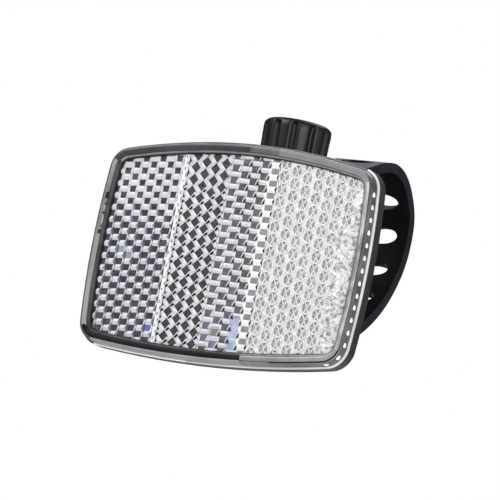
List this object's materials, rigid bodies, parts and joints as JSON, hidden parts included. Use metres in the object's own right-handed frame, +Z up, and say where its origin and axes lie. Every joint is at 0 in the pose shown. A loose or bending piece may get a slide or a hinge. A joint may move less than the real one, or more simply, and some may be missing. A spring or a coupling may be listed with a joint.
{
  "type": "front reflector",
  "caption": "Arched rectangular prismatic front reflector on a handlebar clamp bracket, with a slotted strap tightened by a fluted thumb knob.",
  "frame": {"origin": "on the handlebar axis, in the middle of the bracket's width", "axes": "+X along the handlebar, to the right for someone who looks at the lens; +Y away from the lens face, towards the strap's loop; +Z up, along the knob's axis"},
  "size_m": [0.088, 0.0857, 0.0746],
  "materials": {
    "clear_lens": "clear moulded acrylic, polished face, prismatic back",
    "black_housing": "black moulded plastic, semi-gloss",
    "black_bracket": "black moulded nylon, fine texture",
    "pad_rubber": "black rubber, matt",
    "strap_rubber": "black flexible plastic, satin",
    "black_knob": "black moulded plastic, satin",
    "plated_steel": "zinc plated",
    "insert_brass": "turned brass"
  },
  "bodies": {
    "bracket": {"bracket_body": "black_bracket", "lens": "clear_lens", "back_cover": "black_housing", "saddle_pad": "pad_rubber", "strap": "strap_rubber", "strap_pin": "plated_steel", "thread_insert": "insert_brass", "mounting_screw": "plated_steel", "mounting_washer": "plated_steel", "mounting_nut": "plated_steel"},
    "washer": {"knob_washer": "plated_steel"},
    "knob": {"knob": "black_knob", "knob_screw": "plated_steel"}
  },
  "joints": [
    {"name": "knob_lift", "type": "slide", "parent": "bracket", "child": "washer", "axis": [0, 0, 1], "range_m": [0, 0.007]},
    {"name": "knob_turn", "type": "hinge", "parent": "washer", "child": "knob", "pos_m": [0, -0.0298, 0.022], "axis": [0, 0, 1], "range_deg": [0, 3600]}
  ],
  "couplings": [
    {"joint": "knob_lift", "follows": "knob_turn", "m_per_rad": 0.00011141}
  ]
}
